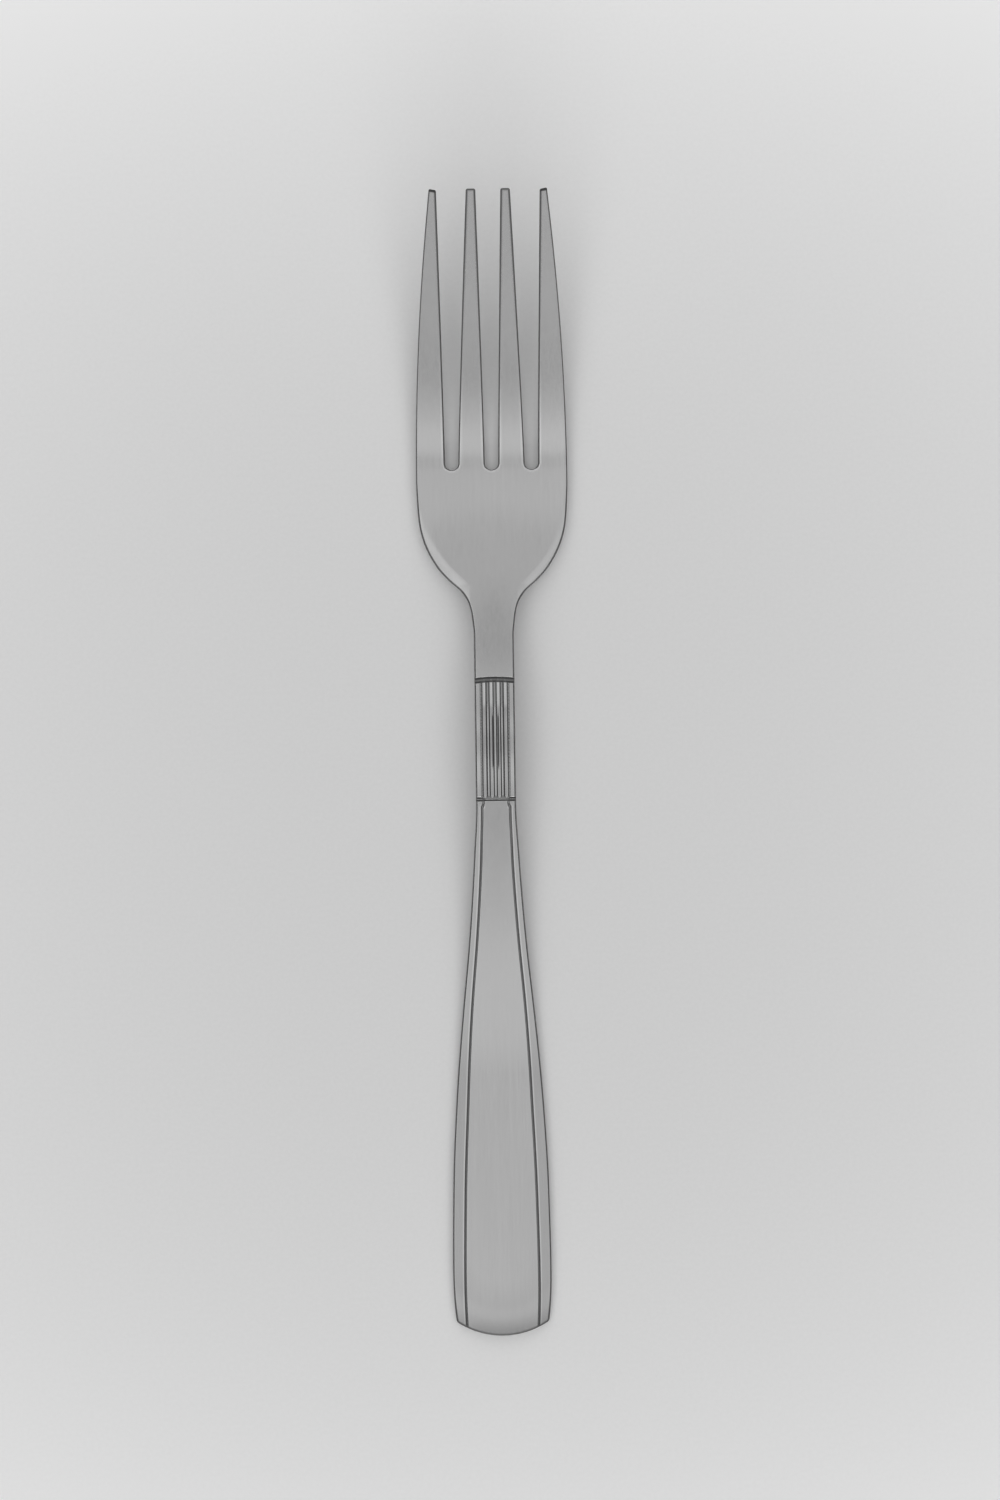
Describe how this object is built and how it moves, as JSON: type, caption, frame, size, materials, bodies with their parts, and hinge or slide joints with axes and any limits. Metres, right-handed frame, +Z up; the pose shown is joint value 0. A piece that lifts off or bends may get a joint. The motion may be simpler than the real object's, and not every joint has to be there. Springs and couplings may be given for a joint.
{
  "type": "dinner fork",
  "caption": "Dinner fork with slim tapering tines, a waisted neck with a fluted band, and a flat handle with raised rails and a rounded end.",
  "frame": {"origin": "on the table, below the middle of the fork's length and width", "axes": "+Y along the fork from the handle towards the tips of the tines, +X to the right seen from above, +Z up out of the fork's face"},
  "size_m": [0.0272, 0.205, 0.0167],
  "materials": {
    "satin_steel": "satin, with fine brush lines along the fork",
    "bright_steel": "bright, as left by the die"
  },
  "bodies": {
    "root": {"tine_1": "satin_steel", "tine_2": "satin_steel", "tine_3": "satin_steel", "tine_4": "satin_steel", "head": "satin_steel", "neck": "satin_steel", "fluted_band": "bright_steel", "handle": "satin_steel"}
  },
  "joints": []
}
